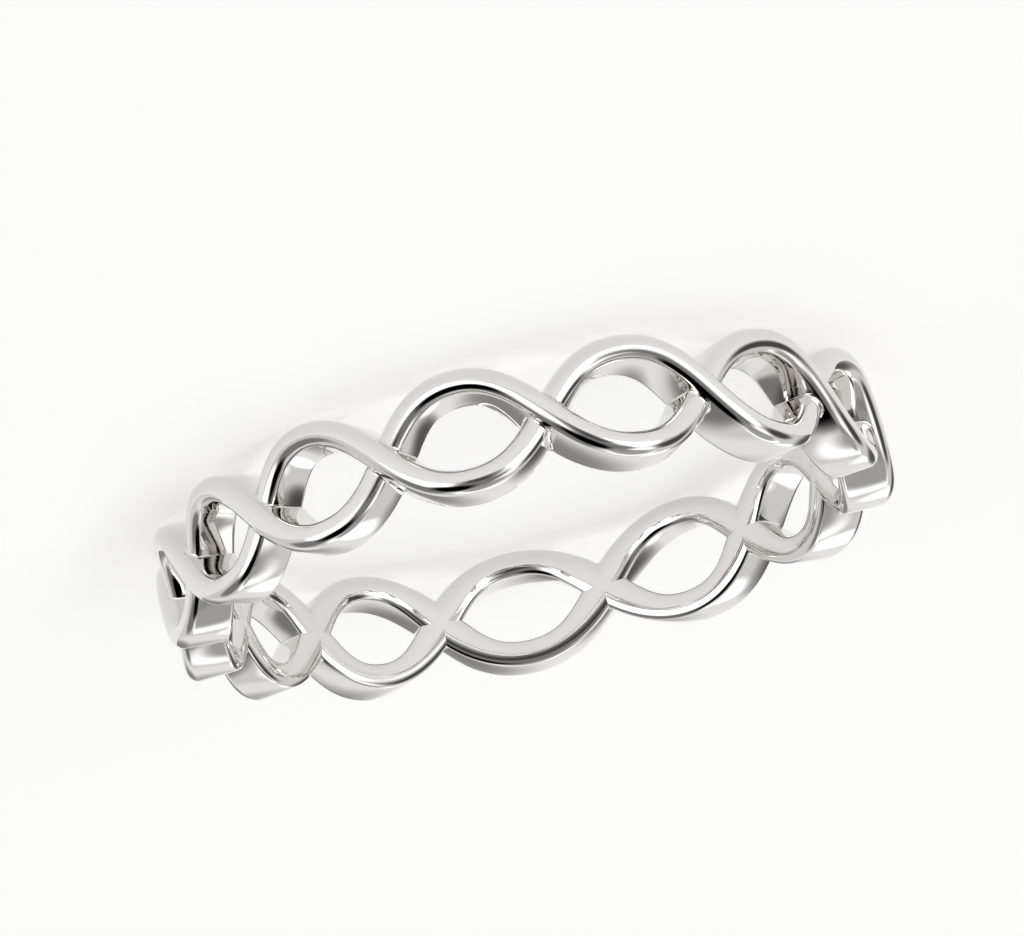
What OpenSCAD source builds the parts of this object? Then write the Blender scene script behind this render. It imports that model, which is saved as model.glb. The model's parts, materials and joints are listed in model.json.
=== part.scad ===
// Open-work infinity ring: one casting of two strands that run round the finger like a loose twist.
// They cross between the eyes; seen from outside, the strand that leans to the left as it rises passes on top.
// The band lies on its side on Z = 0 with the finger hole along Z; the front of the ring is the -Y side.

/* [Finger hole] */
// bore diameter, a ring for an average finger
bore_d = 17.3; // [15:0.1:22]

/* [Strands] */
// width across one strand at its shoulders, where the rounded top begins
strand_w = 0.7; // [0.56:0.02:1]
// radial thickness of the band, from the bore to the crest of a strand
strand_t = 1.6; // [1.2:0.02:2]
// height of the rounded top above the shoulders
top_rise = 0.28; // [0.2:0.02:0.36]
// how much further out the upright wall stands at its foot than at the shoulder
wall_draft = 0.02; // [0:0.01:0.1]
// extra width of the foot on each side where the strands cross, which fills the corners of the eyes
web = 0.14; // [0:0.01:0.2]
// easing of the edges on the finger side
inner_edge = 0.12; // [0.04:0.01:0.16]
// how far the strand beneath runs below the shoulder of the one above it, where they cross
under_step = 0.04; // [0:0.01:0.2]

/* [Twist] */
// number of eyes round the band
eye_count = 14; // [10:1:18]
// how far a strand's middle line swings to each side of the middle of the band
swing = 1.34; // [1:0.02:1.7]
// share by which the loops are blunted at their crests
blunting = 0.044; // [0:0.004:0.1]
// turn of the whole pattern about the finger, in degrees from the front
pattern_turn = 13.9; // [-20:0.1:20]
// share by which the eyes on the long side of the ring are drawn out
side_stretch = 0.12; // [0:0.005:0.15]
// where round the ring that long side is, in degrees from the front
side_stretch_at = 222; // [0:1:360]
// share by which the eyes at front and back are drawn out against those at the sides
ends_stretch = 0.12; // [0:0.005:0.15]

/* [Hidden] */
// sections cut along one eye, and points on the rounded top of a section
steps = 12;
top_points = 5;
bore_r = bore_d / 2;
wall_h = strand_t - top_rise;
foot_w = strand_w + 2 * wall_draft;
band_w = 2 * swing + foot_w;
// radius at which the strands are laid out: about the middle of their thickness
lay_r = bore_r + 0.6 * strand_t;
edge = min(inner_edge, foot_w / 5);
// the strands start this far inside the finger hole, and the bore cuts them flush
start_in = 0.12;
under_dip = top_rise + under_step;
// the rounded top is an arc over the shoulders: its radius, and half its angle
top_r = (pow(strand_w / 2, 2) + pow(top_rise, 2)) / (2 * top_rise);
top_angle = atan2(strand_w / 2, top_r - top_rise);
// an even number of eyes takes two closed strands, an odd one a single strand that goes round twice
strands = eye_count % 2 == 0 ? 2 : 1;
laps = 3 - strands;
cuts = eye_count * steps * laps;

// progress of the twist, in degrees of its wave, at a degrees round from the front, and its rate
function wave(a) = eye_count / 2 * (a - pattern_turn
    - (180 / PI) * (side_stretch * sin(a - side_stretch_at) + ends_stretch / 2 * sin(2 * a)));
function wave_rate(a) = eye_count / 2
    * (1 - side_stretch * cos(a - side_stretch_at) - ends_stretch * cos(2 * a));
// angle round from the front at which the wave reaches u, found in a few steps from the back
function angle_at(u, a = 180, tries = 6) = tries == 0 ? a : angle_at(u, a - (wave(a) - u) / wave_rate(a), tries - 1);
// height of the middle line above the middle of the band, and its rise along the wave
function lay_z(u) = swing * (sin(u) + blunting * sin(3 * u)) / (1 - blunting);
function lay_dz(u) = swing * (cos(u) + 3 * blunting * cos(3 * u)) / (1 - blunting);
// crest of the strand above the bore, lower where it passes beneath the other one
function crest(u) = strand_t - under_dip * pow(0.5 + 0.5 * cos(u), 2);
// half width of the strand's foot
function half_foot(u) = foot_w / 2 + web * pow(cos(u), 4);

// section of a strand: [offset across, height above the bore], up one wall, over the top and down the other
function section(u) = let (k = crest(u) / strand_t, foot = half_foot(u)) concat(
    [[edge + start_in - foot, -start_in], [-foot, edge]],
    [for (i = [0:top_points + 1]) let (x = top_angle * (2 * i / (top_points + 1) - 1))
        [top_r * sin(x), k * (wall_h + top_rise - top_r * (1 - cos(x)))]],
    [[foot, edge], [foot - edge - start_in, -start_in]]);

function section_points(i, start) = let (
    a = 360 * laps * i / cuts,
    u = wave(a) + start,
    lean = atan(lay_dz(u) * wave_rate(a) / lay_r))
    [for (p = section(u)) let (
        t = a - 90 - p[0] * sin(lean) / lay_r * 180 / PI,
        r = bore_r + p[1])
        [r * cos(t), r * sin(t), band_w / 2 + lay_z(u) + p[0] * cos(lean)]];

// the crossing nearest the back of the ring, where the bore's own seam lies on metal and not in an eye
back_crossing = angle_at(180 * round(wave(180) / 180));

module strand(start) {
    n = top_points + 6;
    points = [for (i = [0:cuts - 1]) each section_points(i, start)];
    faces = [for (i = [0:cuts - 1], j = [0:n - 1]) let (
        next = (i + 1) % cuts,
        a = i * n + j,
        b = i * n + (j + 1) % n,
        c = next * n + (j + 1) % n,
        d = next * n + j)
        each [[a, b, c], [a, c, d]]];
    polyhedron(points = points, faces = faces, convexity = 10);
}

module twisted_band() {
    color("silver") difference() {
        union() for (k = [0:strands - 1]) strand(180 * k);
        rotate(back_crossing - 90) translate([0, 0, -1]) cylinder(h = band_w + 2, r = bore_r, $fn = 96);
    }
}

twisted_band();
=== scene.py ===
# %% [markdown]
# An infinity ring in polished white gold, rebuilt in Blender round its CAD model.
#
# The ring is one casting. Two strands swing from edge to edge of the band and cross each other fourteen
# times, so that pointed oval eyes stay open between them. The CAD model already has this form, cut into
# flat facets. A mirror finish shows every facet, so the lesson sweeps the same strands again, finely, and
# welds them into one smooth body. Then it polishes the metal and sets the ring on a pale table in a light
# tent.
#
# Everything is in metres, in the frame of the CAD model: Z points up along the finger hole, and -Y is the
# front.

# %% Load the fixed frame
import json
import math

import bmesh
import bpy
import numpy as np
from mathutils import Matrix, Vector
from mathutils.bvhtree import BVHTree


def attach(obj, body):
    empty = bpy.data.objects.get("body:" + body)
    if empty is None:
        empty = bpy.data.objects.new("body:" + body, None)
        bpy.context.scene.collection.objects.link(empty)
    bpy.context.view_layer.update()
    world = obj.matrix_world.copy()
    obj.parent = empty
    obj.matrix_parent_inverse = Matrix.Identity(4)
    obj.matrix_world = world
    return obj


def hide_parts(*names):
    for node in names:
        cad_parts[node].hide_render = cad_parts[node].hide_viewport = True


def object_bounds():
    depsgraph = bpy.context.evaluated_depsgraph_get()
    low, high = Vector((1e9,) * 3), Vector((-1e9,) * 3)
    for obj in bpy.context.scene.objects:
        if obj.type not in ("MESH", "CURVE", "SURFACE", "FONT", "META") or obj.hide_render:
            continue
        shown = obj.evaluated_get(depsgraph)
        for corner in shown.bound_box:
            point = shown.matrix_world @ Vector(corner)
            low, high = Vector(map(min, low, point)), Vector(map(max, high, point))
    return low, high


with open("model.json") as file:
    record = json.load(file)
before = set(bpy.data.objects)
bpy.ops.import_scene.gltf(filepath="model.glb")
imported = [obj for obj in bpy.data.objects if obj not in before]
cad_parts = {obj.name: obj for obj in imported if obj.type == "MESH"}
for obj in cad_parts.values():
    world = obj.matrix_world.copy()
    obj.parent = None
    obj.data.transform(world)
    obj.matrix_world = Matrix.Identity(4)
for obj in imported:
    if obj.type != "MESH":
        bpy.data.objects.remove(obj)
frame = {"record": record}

cad_low, cad_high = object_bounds()
print("CAD box in mm:", [round(1000 * v, 3) for v in (*cad_low, *cad_high)])

# %% [markdown]
# The driving sizes are those of the casting. The finger hole comes from the record, and the height of the
# band from the CAD box, so the sweep can't drift away from the model. The rest are the section of a strand
# and the rhythm of the twist, in the same words as in the CAD source.

# %% Sizes of the casting
MM = 0.001
bore_r = frame["record"]["mounts"][0]["dims"]["r_mm"] * MM
band_w = cad_high.z - cad_low.z
strand_w = 0.7 * MM
strand_t = 1.6 * MM
top_rise = 0.28 * MM
wall_draft = 0.02 * MM
web = 0.14 * MM
under_step = 0.04 * MM

eye_count = 14
blunting = 0.044
pattern_turn = math.radians(13.9)
side_stretch = 0.12
side_stretch_at = math.radians(222)
ends_stretch = 0.12

foot_w = strand_w + 2 * wall_draft
swing = (band_w - foot_w) / 2
wall_h = strand_t - top_rise
# the strands are laid out a little outside the middle of their thickness
lay_r = bore_r + 0.6 * strand_t
under_dip = top_rise + under_step
print("finger hole", round(2 * bore_r / MM, 2), "mm, band", round(band_w / MM, 2), "mm")
print("swing to each side", round(swing / MM, 3), "mm")

# %% [markdown]
# The middle line of a strand is a wave wrapped round the finger. Its crests are a little blunt, and its
# eyes are drawn out on one side of the ring, as the photograph shows. A wave keeps the route in three short
# formulas, where a list of points would hide them. Each returns its slope too, because the section has to
# stand square to the route.

# %% The route of a strand
def wave(turn):
    """Progress of the twist at an angle round from the front, and its rate."""
    stretch = side_stretch * np.sin(turn - side_stretch_at) + ends_stretch / 2 * np.sin(2 * turn)
    rate = 1 - side_stretch * np.cos(turn - side_stretch_at) - ends_stretch * np.cos(2 * turn)
    return eye_count / 2 * (turn - pattern_turn - stretch), eye_count / 2 * rate


def lay(u):
    """Height of the middle line over the middle of the band, and its rise along the wave."""
    height = swing * (np.sin(u) + blunting * np.sin(3 * u)) / (1 - blunting)
    rise = swing * (np.cos(u) + 3 * blunting * np.cos(3 * u)) / (1 - blunting)
    return height, rise


def crest(u):
    """Crest of the strand over the bore: it dips where the strand passes beneath the other one."""
    return strand_t - under_dip * (0.5 + 0.5 * np.cos(u)) ** 2


def half_foot(u):
    """Half the width of a strand at its foot, with the web that fills the corners of the eyes."""
    return foot_w / 2 + web * np.cos(u) ** 4


print("crest over the bore:", round(crest(np.pi) / MM, 3), "mm")
print("crest where it dives:", round(crest(0) / MM, 3), "mm")

# %% [markdown]
# The section is what a jeweller would file: an upright wall, a rounded top that meets it at a crisp
# shoulder, and a finger side that is buffed slightly convex, so that it feels soft. Each point carries the
# slope of the section there, because the polish lives on the normals: if they were guessed from the faces,
# the flat walls would look pillowed beside the shoulder. The wall itself swells by a few degrees, as
# buffing leaves it. The sweep starts a little inside the finger hole, and the bore cuts it flush
# afterwards.

# %% The section of a strand
start_in = 0.03 * MM
start_share = 0.6
soft_turn = math.radians(84)
soft_up = 0.17 * MM
shoulder_soft = 0.012 * MM
wall_swell = math.radians(6)
top_r = ((strand_w / 2) ** 2 + top_rise**2) / (2 * top_rise)
top_angle = math.atan2(strand_w / 2, top_r - top_rise)
SOFT_POINTS = 10
WALL_SHARES = (0.03, 0.5, 1)
TOP_POINTS = 15


def half_section(u):
    """One side of the section for every place u, from the bore up: offset, height, and their slopes."""
    foot = half_foot(u)
    tall = crest(u) / strand_t
    one = np.ones_like(u)
    lean_in = foot - strand_w / 2
    wall = np.hypot(lean_in, tall * wall_h - soft_up)
    wall_across = -lean_in / wall
    wall_up = (tall * wall_h - soft_up) / wall
    columns = [(start_share * foot * math.cos(soft_turn), -start_in * one, one, 0 * one)]
    for turn in np.linspace(soft_turn, wall_swell, SOFT_POINTS):
        across = foot * math.cos(turn)
        height = soft_up * (1 - math.sin(turn))
        columns.append((across, height * one, foot * math.sin(turn), soft_up * math.cos(turn) * one))
    for share in WALL_SHARES:
        reach = share * (wall - shoulder_soft)
        roll = wall_swell * (1 - 2 * share)
        slope_across = wall_across * math.cos(roll) + wall_up * math.sin(roll)
        slope_up = wall_up * math.cos(roll) - wall_across * math.sin(roll)
        columns.append((foot + reach * wall_across, soft_up + reach * wall_up, slope_across, slope_up))
    return columns


def section(u):
    """The whole section for every place u, as arrays (place, point) of offset, height and their slopes."""
    side = half_section(u)
    tall = crest(u) / strand_t
    one = np.ones_like(u)
    left = [(-a, h, -da, dh) for a, h, da, dh in side]
    top = []
    for angle in np.linspace(-top_angle, top_angle, TOP_POINTS):
        height = wall_h + top_rise - top_r * (1 - math.cos(angle))
        slope_up = -tall * math.sin(angle)
        top.append((top_r * math.sin(angle) * one, tall * height, math.cos(angle) * one, slope_up))
    right = [(a, h, -da, -dh) for a, h, da, dh in reversed(side)]
    return [np.stack(part, 1) for part in zip(*(left + top + right))]


print("rounded top: radius", round(top_r / MM, 3), "mm over", round(2 * math.degrees(top_angle)), "degrees")

# %% [markdown]
# Where one strand dives beneath the other, the casting has a small rounded corner instead of a knife cut.
# It could be rolled along the seam after the weld, but a seam between two curved walls makes a poor path.
# Here the lower strand swells instead, just before it touches the wall of the upper one, by the profile of
# a quarter circle. So the weld finds two surfaces that already meet smoothly, and the corner of each eye is
# rounded by the same rule. The finger side stays as it is, because a buff reaches it.

# %% Round the corners where the strands meet
corner_r = 0.09 * MM
fade_in = 0.04 * MM
# a strand dives where the cosine of its wave is over this
DIVES_OVER = 0.2
# how sharply the rounding stops where a face begins to look at the finger
FINGER_SIDE_FADE = 2.5
# how far into the quarter circle a normal may turn, so that it keeps a part of its own
FULLEST_TURN = 0.98
# keeps a direction of no length from being divided by nothing
SMALLEST = 1e-9


def upper_strand(turn, z, height, start):
    """Gap from a place to the wall of the strand that crosses above it, and that wall's side and lean."""
    u, rate = wave(turn)
    u = u + start + math.pi
    middle, rise = lay(u)
    lean = np.arctan(rise * rate / lay_r)
    offset = (z - band_w / 2 - middle) * np.cos(lean)
    share = np.clip((height - soft_up) / (wall_h - soft_up), 0, 1)
    half = half_foot(u) * (1 - share) + strand_w / 2 * share
    above = np.clip(height - (wall_h + top_rise - top_r), 0, top_r)
    half = np.where(height > wall_h, np.sqrt(top_r**2 - above**2), half)
    return np.abs(offset) - half, np.sign(offset), lean


def swell_into_corners(turn, start, points, normals):
    """Moves the places close beneath an upper strand outwards, and turns their normals to match."""
    angle = np.arctan2(points[..., 1], points[..., 0])
    here = angle + math.pi / 2
    height = np.hypot(points[..., 0], points[..., 1]) - bore_r
    gap, side, lean = upper_strand(here, points[..., 2], height, start)
    dives = np.cos(wave(here)[0] + start) > DIVES_OVER
    out = np.stack([np.cos(angle), np.sin(angle), np.zeros_like(angle)], -1)
    outside = np.clip(1 + FINGER_SIDE_FADE * (out * normals).sum(-1), 0, 1)
    near = np.where(dives, outside * np.clip((corner_r - gap) / corner_r, 0, 1), 0)
    lift = corner_r * (1 - np.sqrt(1 - near**2)) * np.clip(1 + gap / fade_in, 0, 1)
    round_finger = np.stack([-np.sin(angle), np.cos(angle), np.zeros_like(angle)], -1)
    upright = np.cos(lean)[..., None] * np.array([0, 0, 1.0])
    wall = side[..., None] * (upright - np.sin(lean)[..., None] * round_finger)
    wall = wall - (wall * normals).sum(-1, keepdims=True) * normals
    wall /= np.maximum(np.linalg.norm(wall, axis=-1, keepdims=True), SMALLEST)
    lean_over = np.minimum(near, FULLEST_TURN)[..., None]
    turned = np.sqrt(1 - lean_over**2) * normals + lean_over * wall
    return points + lift[..., None] * normals, turned


print("corners rounded by", round(corner_r / MM, 3), "mm")

# %% [markdown]
# Now the sweep. At each of several hundred places round the finger the section is set square to the route,
# and the places lie closer together where a corner has to be rounded. The normal comes from two directions
# in the surface: the one along the strand, measured over a tiny step, and the one across it, known from the
# section itself.

# %% Sweep a strand
STEPS_PER_EYE = 40
FINE_STEPS_PER_EYE = 200
CORNER_STEPS = 26
corner_from, corner_to = 0.24 * MM, 0.68 * MM
# cosine of a strand's lean at a crossing, which turns a reach along the strand into one round the finger
CROSSING_COSINE = 0.66
TINY = 1e-5
# places that agree to this many decimals, in radians, are one
SAME_DECIMALS = 7


def turns_of(start):
    """Places round the finger at which a strand gets a section."""
    even = np.linspace(0, 2 * np.pi, eye_count * STEPS_PER_EYE, endpoint=False)
    fine = np.linspace(0, 2 * np.pi, eye_count * FINE_STEPS_PER_EYE, endpoint=False)
    along = wave(fine)[0] + start
    centres = np.interp(2 * np.pi * np.arange(-2, eye_count), along, fine, left=np.nan, right=np.nan)
    centres = centres[np.isfinite(centres)]
    reach = np.linspace(corner_from, corner_to, CORNER_STEPS) * CROSSING_COSINE / lay_r
    extra = (centres[:, None] + np.concatenate([-reach, reach])[None]).ravel() % (2 * np.pi)
    return np.unique(np.round(np.concatenate([even, extra]), SAME_DECIMALS))


def place(turn, start):
    """The sections at some places round the finger, as points, with what their normals need."""
    u, rate = wave(turn)
    u = u + start
    middle, rise = lay(u)
    lean = np.arctan(rise * rate / lay_r)[:, None]
    across, height, slope_across, slope_up = section(u)
    angle = turn[:, None] - math.pi / 2 - across * np.sin(lean) / lay_r
    radius = bore_r + height
    z = band_w / 2 + middle[:, None] + across * np.cos(lean)
    points = np.stack([radius * np.cos(angle), radius * np.sin(angle), z], -1)
    out = np.stack([np.cos(angle), np.sin(angle), np.zeros_like(angle)], -1)
    round_finger = np.stack([-np.sin(angle), np.cos(angle), np.zeros_like(angle)], -1)
    upright = np.cos(lean)[..., None] * np.array([0, 0, 1.0])
    sideways = upright - (np.sin(lean) * radius / lay_r)[..., None] * round_finger
    return points, out, slope_across[..., None] * sideways + slope_up[..., None] * out


def sweep(start):
    """Points and outward normals of one closed strand, as arrays (place, point, xyz)."""
    turn = turns_of(start)
    points, out, over = place(turn, start)
    along = place(turn + TINY, start)[0] - place(turn - TINY, start)[0]
    normals = np.cross(over, along)
    normals /= np.linalg.norm(normals, axis=-1, keepdims=True)
    crest_column = points.shape[1] // 2
    if (normals[:, crest_column] * out[:, crest_column]).sum() < 0:
        normals = -normals
    return swell_into_corners(turn, start, points, normals)


strands = [sweep(start) for start in (0, math.pi)]
print("each strand:", strands[0][0].shape[0], "sections of", strands[0][0].shape[1], "points")

# %% [markdown]
# The two strands are welded into one body, as the casting is, and the bore is cut through both. The boolean
# solver for closed meshes does this in a second or two and leaves sharp, true seams where the strands meet.
# Shells that merely cross each other would look the same from afar, but would leave hidden faces inside
# the mesh.

# %% Weld the strands and cut the finger hole
BORE_FACETS = 720


def tube_mesh(name, points):
    """A closed mesh from sections that follow each other round the finger."""
    rows, columns = points.shape[:2]
    first = np.arange(rows)[:, None] * columns
    after = (np.arange(rows)[:, None] + 1) % rows * columns
    here = np.arange(columns)[None]
    beside = (np.arange(columns)[None] + 1) % columns
    quads = np.stack([first + here, first + beside, after + beside, after + here], -1).reshape(-1, 4)
    mesh = bpy.data.meshes.new(name)
    mesh.from_pydata(points.reshape(-1, 3).tolist(), [], quads.tolist())
    shape = bmesh.new()
    shape.from_mesh(mesh)
    bmesh.ops.recalc_face_normals(shape, faces=shape.faces)
    shape.to_mesh(mesh)
    shape.free()
    return mesh


def new_object(name, mesh):
    """An object that shows a mesh in the scene."""
    piece = bpy.data.objects.new(name, mesh)
    bpy.context.scene.collection.objects.link(piece)
    return piece


def bore_tool():
    """A long drill of the finger hole's size."""
    shape = bmesh.new()
    bmesh.ops.create_cone(
        shape, cap_ends=True, segments=BORE_FACETS, radius1=bore_r, radius2=bore_r, depth=3 * band_w
    )
    bmesh.ops.translate(shape, verts=shape.verts, vec=(0, 0, band_w / 2))
    mesh = bpy.data.meshes.new("bore_tool")
    shape.to_mesh(mesh)
    shape.free()
    return new_object("bore_tool", mesh)


def weld(piece, tool, operation):
    """Applies one boolean step and takes the tool away."""
    step = piece.modifiers.new(operation, "BOOLEAN")
    step.object = tool
    step.operation = operation
    step.solver = "MANIFOLD"
    graph = bpy.context.evaluated_depsgraph_get()
    done = bpy.data.meshes.new_from_object(piece.evaluated_get(graph))
    piece.modifiers.clear()
    piece.data = done
    bpy.data.objects.remove(tool)


ring = new_object("polished_band", tube_mesh("polished_band", strands[0][0]))
weld(ring, new_object("second_strand", tube_mesh("second_strand", strands[1][0])), "UNION")
weld(ring, bore_tool(), "DIFFERENCE")
print("welded band:", len(ring.data.polygons), "faces")

# %% [markdown]
# The weld leaves slivers along its seams, and shading worked out from slivers would ripple. So every corner
# of every face takes the normal of the clean surface that it came from: strand one, strand two, or the
# bore. Seams stay crisp, because the two faces that meet there ask different surfaces.

# %% Ask a swept surface for its normal
def surface_tree(points):
    """A search tree over the open sheet of a strand's sections, and the corners of its triangles."""
    rows, columns = points.shape[:2]
    first = np.arange(rows)[:, None] * columns
    after = (np.arange(rows)[:, None] + 1) % rows * columns
    here = np.arange(columns - 1)[None]
    a, b, c, d = first + here, first + here + 1, after + here + 1, after + here
    halves = [np.stack(np.broadcast_arrays(*three), -1) for three in ((a, b, c), (a, c, d))]
    corners = np.concatenate(halves).reshape(-1, 3)
    return BVHTree.FromPolygons(points.reshape(-1, 3).tolist(), corners.tolist()), corners


def smooth_normal(at, tree, corners, points, normals):
    """Normal of the swept surface at the point of it nearest to a place, and how far off that is."""
    found, _, index, distance = tree.find_nearest(at)
    ids = corners[index]
    first, second, third = points[ids]
    side_b, side_c, arm = second - first, third - first, np.array(found) - first
    bb, bc, cc = side_b @ side_b, side_b @ side_c, side_c @ side_c
    arm_b, arm_c = arm @ side_b, arm @ side_c
    area = bb * cc - bc * bc
    if area <= 0:
        return normals[ids[0]], distance
    share_b = (cc * arm_b - bc * arm_c) / area
    share_c = (bb * arm_c - bc * arm_b) / area
    blend = (1 - share_b - share_c) * normals[ids[0]] + share_b * normals[ids[1]] + share_c * normals[ids[2]]
    return blend, distance


sources = []
for strand_points, strand_normals in strands:
    tree, corners = surface_tree(strand_points)
    sources.append((tree, corners, strand_points.reshape(-1, 3), strand_normals.reshape(-1, 3)))
print("triangles to ask on each strand:", [len(source[1]) for source in sources])

# %% [markdown]
# A face tells where it came from by two signs: how near it lies to a strand's surface, and how well it
# faces the same way. Distance alone would fail along the seams, where both strands are near.

# %% Give the band its true normals
BORE = 2
ON_BORE = 0.002 * MM
# a face that is turned square to a strand counts as if it lay this many millimetres off it
TURNED_PENALTY = 0.05
TO_FINGER = (-1, -1, 0)


def source_of(face, radius):
    """Which surface a face came from: strand 0, strand 1 or the bore."""
    if abs(radius[list(face.vertices)] - bore_r).max() < ON_BORE:
        return BORE
    misfit = []
    for source in sources:
        normal, distance = smooth_normal(face.center, *source)
        unit = normal / np.linalg.norm(normal)
        misfit.append(distance / MM + TURNED_PENALTY * (1 - float(np.dot(unit, face.normal))))
    return 0 if misfit[0] <= misfit[1] else 1


def true_normals(mesh):
    """Sets the normal of every face corner, and returns how many faces came from each surface."""
    places = np.empty(3 * len(mesh.vertices))
    mesh.vertices.foreach_get("co", places)
    places = places.reshape(-1, 3)
    radius = np.hypot(places[:, 0], places[:, 1])
    known = [{}, {}]
    result = np.zeros((len(mesh.loops), 3))
    parts = [0, 0, 0]
    for face in mesh.polygons:
        part = source_of(face, radius)
        parts[part] += 1
        for loop, vertex in zip(face.loop_indices, face.vertices):
            if part == BORE:
                result[loop] = places[vertex] * TO_FINGER
                continue
            if vertex not in known[part]:
                known[part][vertex] = smooth_normal(places[vertex], *sources[part])[0]
            result[loop] = known[part][vertex]
    result /= np.linalg.norm(result, axis=1, keepdims=True)
    mesh.shade_smooth()
    mesh.normals_split_custom_set(result.tolist())
    return parts


print("faces from strand one, strand two and the bore:", true_normals(ring.data))

# %% [markdown]
# Shader sums are easier to read as expressions than as a web of nodes, so a small class wraps a socket and
# lets plain arithmetic add the Math nodes. One method adds every other kind of node.

# %% A socket that can be added and multiplied
class Wire:
    """A shader socket. Arithmetic on it adds Math nodes."""

    def __init__(self, tree, socket=None):
        self.tree = tree
        self.socket = socket

    def node(self, kind, settings=(), **values):
        """Adds a node: its settings first, then the values or links of its sockets.

        A socket goes by its name with _ for a space, or by its number after an i.
        """
        made = self.tree.nodes.new(kind)
        for name, value in dict(settings).items():
            setattr(made, name, value)
        for name, value in values.items():
            key = int(name[1:]) if name[1:].isdigit() else name.replace("_", " ")
            if isinstance(value, Wire):
                self.tree.links.new(value.socket, made.inputs[key])
            else:
                made.inputs[key].default_value = value
        return made

    def out(self, node, name=0):
        """An output of a node, as a wire."""
        return Wire(self.tree, node.outputs[name])

    def math(self, operation, first, second):
        """The result of a Math node."""
        return self.out(self.node("ShaderNodeMath", {"operation": operation}, i0=first, i1=second))

    def __add__(self, other):
        return self.math("ADD", self, other)

    __radd__ = __add__

    def __mul__(self, other):
        return self.math("MULTIPLY", self, other)

    __rmul__ = __mul__

    def __sub__(self, other):
        return self.math("SUBTRACT", self, other)

    def __rsub__(self, other):
        return self.math("SUBTRACT", other, self)

    def step(self, low, high):
        """0 below low, 1 above high, eased between."""
        eased = {"interpolation_type": "SMOOTHSTEP"}
        ramp = self.node("ShaderNodeMapRange", eased, Value=self, From_Min=low, From_Max=high)
        return self.out(ramp, "Result")


def new_material(name):
    """A material with an empty tree, and a wire to draw its nodes with."""
    material = bpy.data.materials.new(name)
    material.use_nodes = True
    material.node_tree.nodes.clear()
    return material, Wire(material.node_tree)


print("operators:", [name for name in vars(Wire) if name.startswith("__r")])

# %% [markdown]
# Polished white gold is a mirror with a faint warmth. It is never quite even: the buffing wheel leaves a
# trace of haze and fine drag lines, and the surface swells by a few thousandths of a millimetre. A metallic
# Principled shader with a low roughness gives the mirror, noise at two sizes the haze, and a very slight
# bump the swell. The colour is a little darker than the bare metal's, so that the ring's edges stay
# readable on a white table.

# %% Polish the metal
DULLER_GOLD = (0.755, 0.738, 0.72, 1)
BRIGHTER_GOLD = (0.795, 0.778, 0.76, 1)


def white_gold():
    """The polished metal, with its haze, drag lines and swell."""
    material, pen = new_material("polished_white_gold")
    where = pen.out(pen.node("ShaderNodeTexCoord"), "Object")
    haze = pen.out(pen.node("ShaderNodeTexNoise", Vector=where, Scale=420.0, Detail=3.0), "Fac")
    drag = pen.out(pen.node("ShaderNodeTexNoise", Vector=where, Scale=9000.0, Detail=2.0), "Fac")
    swell = pen.out(pen.node("ShaderNodeTexNoise", Vector=where, Scale=900.0, Detail=1.0), "Fac")
    bump = pen.node("ShaderNodeBump", Strength=0.02, Distance=0.02 * MM, Height=swell)
    tint = pen.node("ShaderNodeMix", {"data_type": "RGBA"}, Factor=haze, i6=DULLER_GOLD, i7=BRIGHTER_GOLD)
    metal = pen.node(
        "ShaderNodeBsdfPrincipled",
        Metallic=1.0,
        Base_Color=pen.out(tint, 2),
        Roughness=0.025 + 0.02 * haze + 0.01 * drag,
        Normal=pen.out(bump),
    )
    pen.node("ShaderNodeOutputMaterial", Surface=pen.out(metal))
    return material


ring.data.materials.clear()
ring.data.materials.append(white_gold())
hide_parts("twisted_band")
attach(ring, "root")
print("ring:", len(ring.data.polygons), "faces in", ring.active_material.name)

# %% [markdown]
# The ring lies on its side on a pale table, as it would by itself. A jeweller's table is lit from below as
# well, so that shadows stay light: here the floor glows a little and takes the rest of its white from the
# light tent.

# %% Set the table
TABLE_SIDE = 3.0
TABLE_PAINT = (0.85, 0.85, 0.85, 1)
TABLE_GLOW = 0.41


def pale_floor():
    """Matt pale paint that glows a little."""
    material, pen = new_material("pale_table")
    where = pen.out(pen.node("ShaderNodeTexCoord"), "Object")
    grain = pen.out(pen.node("ShaderNodeTexNoise", Vector=where, Scale=300.0, Detail=4.0), "Fac")
    top = pen.node(
        "ShaderNodeBsdfPrincipled",
        Base_Color=TABLE_PAINT,
        Roughness=0.7 + 0.1 * grain,
        Emission_Color=(1, 1, 1, 1),
        Emission_Strength=TABLE_GLOW,
    )
    pen.node("ShaderNodeOutputMaterial", Surface=pen.out(top))
    return material


half_side = TABLE_SIDE / 2
table_corners = [(half_side * x, half_side * y, 0) for x, y in ((-1, -1), (1, -1), (1, 1), (-1, 1))]
plate = bpy.data.meshes.new("pale_table")
plate.from_pydata(table_corners, [], [(0, 1, 2, 3)])
floor = new_object("pale_table", plate)
floor.location.z = cad_low.z
floor.data.materials.append(pale_floor())
print("table at", round(floor.location.z / MM, 3), "mm")

# %% [markdown]
# What a mirror shows is its surroundings, so most of the likeness is made here. The studio is a light tent:
# white nearly all round, with a few dark flags that draw the dark lines along the shoulders of the strands,
# and soft boxes that add the bright streaks. The tent is the world's shader, where a direction is a socket
# too: a flag is the set of directions near its middle. Lamps could do the same, but each would show its own
# hard edge in a mirror.

# %% Plan the light tent
TENT_LIGHT = 0.75
TENT_WHITE = (1, 0.995, 0.985, 1)
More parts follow.
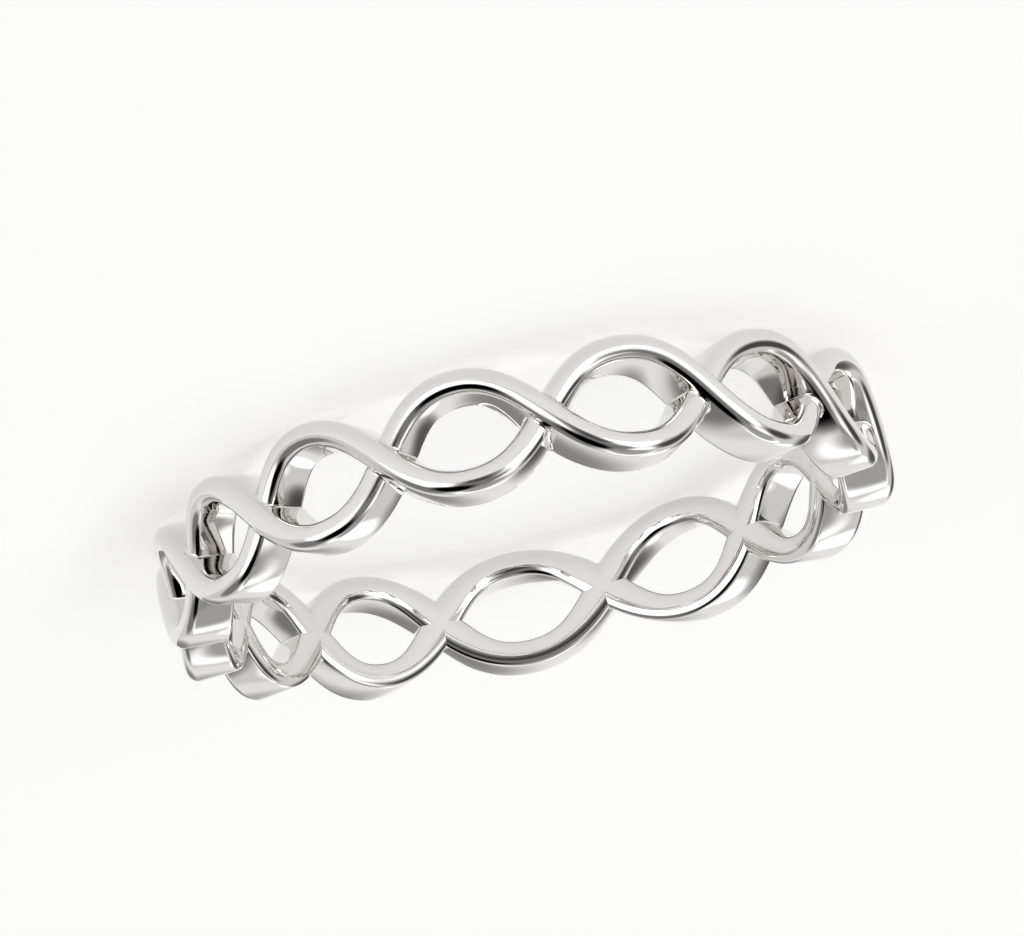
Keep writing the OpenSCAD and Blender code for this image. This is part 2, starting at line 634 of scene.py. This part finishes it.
# azimuth, elevation, radius and softness in degrees, and how much of the light the flag takes
FLAGS = {
    # dark bands on the rounded tops of the near strands
    "front band": (-10, 35, 20, 15, 0.7),
    "left band": (35, 50, 15, 15, 1.0),
    "lens": (-10, 10, 10, 10, 0.7),
    # the dark sides of the strands at the two ends of the ring
    "left stand": (85, 40, 15, 15, 0.7),
    "right stand": (-90, 25, 10, 15, 0.9),
    # darker stretches on the walls that look up, which mirror the far side of the tent
    "far right": (-145, 10, 5, 20, 0.85),
    "far left": (155, 10, 5, 25, 0.7),
    # the dark line high on the shoulders
    "overhead": (-90, 80, 15, 15, 0.8),
}
# each softbox has the same measures, and how much light it adds to the tent
SOFTBOXES = {
    # bright streaks on the rounded tops of the near strands
    "low right": (-40, 10, 5, 25, 3.0),
    "low left": (40, 15, 5, 25, 2.0),
    "right": (-60, 50, 5, 15, 0.6),
    # the glint beside the dark line on the shoulders
    "zenith": (-135, 80, 15, 15, 1.4),
    # light on the walls that look up
    "far side": (-160, 40, 5, 10, 1.0),
    "far rim": (160, 20, 30, 10, 0.2),
}
print("tent with", len(FLAGS), "flags and", len(SOFTBOXES), "softboxes")

# %% [markdown]
# The dot product of two directions is the cosine of the angle between them. So a round patch of the tent
# needs one Vector Math node, and an eased step between the cosines of its rim gives it a soft edge.

# %% Hang the light tent
def direction(azimuth, elevation):
    """Unit vector to a place on the tent: azimuth from the front towards +X, elevation from the floor."""
    a, e = math.radians(azimuth), math.radians(elevation)
    return (math.cos(e) * math.sin(a), -math.cos(e) * math.cos(a), math.sin(e))


def patch(look, azimuth, elevation, radius, soft):
    """1 within the radius of a place on the tent, 0 beyond its soft rim."""
    middle = direction(azimuth, elevation)
    towards = look.node("ShaderNodeVectorMath", {"operation": "DOT_PRODUCT"}, i0=look, i1=middle)
    rim, edge = math.cos(math.radians(radius + soft)), math.cos(math.radians(radius))
    return look.out(towards, "Value").step(rim, edge)


def light_tent():
    """Makes the world's shader: an even tent, then its softboxes, then its flags."""
    world = bpy.data.worlds.new("light_tent")
    bpy.context.scene.world = world
    world.use_nodes = True
    world.node_tree.nodes.clear()
    pen = Wire(world.node_tree)
    look = pen.out(pen.node("ShaderNodeTexCoord"), "Generated")
    light = TENT_LIGHT
    for *where, bright in SOFTBOXES.values():
        light = light + bright * patch(look, *where)
    for *where, dark in FLAGS.values():
        light = light * (1 - dark * patch(look, *where))
    shade = pen.node("ShaderNodeBackground", Color=TENT_WHITE, Strength=light)
    pen.node("ShaderNodeOutputWorld", Surface=pen.out(shade))
    return world


print("nodes in the tent:", len(light_tent().node_tree.nodes))

# %% [markdown]
# The camera looks from the front, sixteen degrees above the table, through a long lens. The photograph is
# turned almost upside down against the ring's rest, so the camera rolls. Its place follows from four
# measured numbers: the elevation, the roll, how many pixels the bore's radius covers, and where the middle
# of the ring falls.

# %% Set up the camera
PHOTO_W, PHOTO_H = 1024, 936
SENSOR = 36.0
camera_elevation = math.radians(16.29)
camera_roll = math.radians(165.62)
camera_distance = 18.885 * bore_r
radius_in_pixels = 314.3
middle_pixel = (523.2, 522.6)
ring_middle = Vector((0, 0, band_w / 2))


def place_camera():
    """A rolled camera that sees the ring as the photograph does."""
    back = Vector((0, -math.cos(camera_elevation), math.sin(camera_elevation)))
    level = Vector((1, 0, 0))
    upright = Vector((0, math.sin(camera_elevation), math.cos(camera_elevation)))
    right = math.cos(camera_roll) * level + math.sin(camera_roll) * upright
    up = -math.sin(camera_roll) * level + math.cos(camera_roll) * upright
    metres_per_pixel = bore_r / radius_in_pixels
    shift_right = (middle_pixel[0] - PHOTO_W / 2) * metres_per_pixel
    shift_up = (PHOTO_H / 2 - middle_pixel[1]) * metres_per_pixel
    eye = ring_middle + camera_distance * back - shift_right * right - shift_up * up
    data = bpy.data.cameras.new("photo_camera")
    data.sensor_width = SENSOR
    data.lens = SENSOR * radius_in_pixels * (camera_distance / bore_r) / PHOTO_W
    data.clip_start = 0.005
    data.clip_end = 10
    camera = new_object("photo_camera", data)
    columns = [(*axis, 0) for axis in (right, up, back)] + [(*eye, 1)]
    camera.matrix_world = Matrix(columns).transposed()
    bpy.context.scene.camera = camera
    return camera


print("lens", round(place_camera().data.lens, 1), "mm")
bpy.context.scene.view_settings.view_transform = "Standard"

# %% [markdown] The finer curves must not make the ring bigger than its CAD model.
